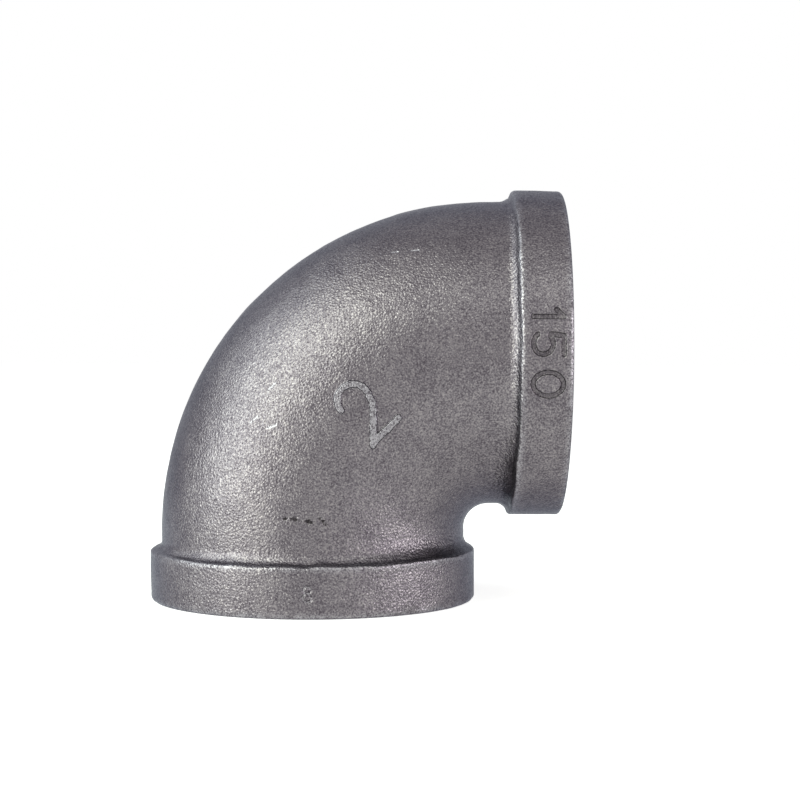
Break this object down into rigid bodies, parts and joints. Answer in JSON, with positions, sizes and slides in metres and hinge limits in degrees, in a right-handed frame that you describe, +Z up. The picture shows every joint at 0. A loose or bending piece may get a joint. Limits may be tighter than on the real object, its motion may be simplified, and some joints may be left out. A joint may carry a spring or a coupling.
{
  "type": "threaded pipe elbow",
  "caption": "Cast-iron 90 degree elbow with a threaded port at each end, each in a raised band; it joins two pipes at a right angle and turns the flow between them.",
  "frame": {"origin": "centre of the lower port's face", "axes": "+Z up the lower port's axis into the elbow, +X out of the side port along its axis, +Y away from the side that carries the size number"},
  "size_m": [0.0948, 0.0752, 0.0948],
  "materials": {
    "cast_iron": "as-cast malleable iron, shot-blasted to a fine even grain, with a thin grey oxide and no coating",
    "cut_thread": "freshly tapped malleable iron, smooth and brighter than the cast skin"
  },
  "bodies": {
    "root": {"elbow_casting": "cast_iron"}
  },
  "joints": []
}
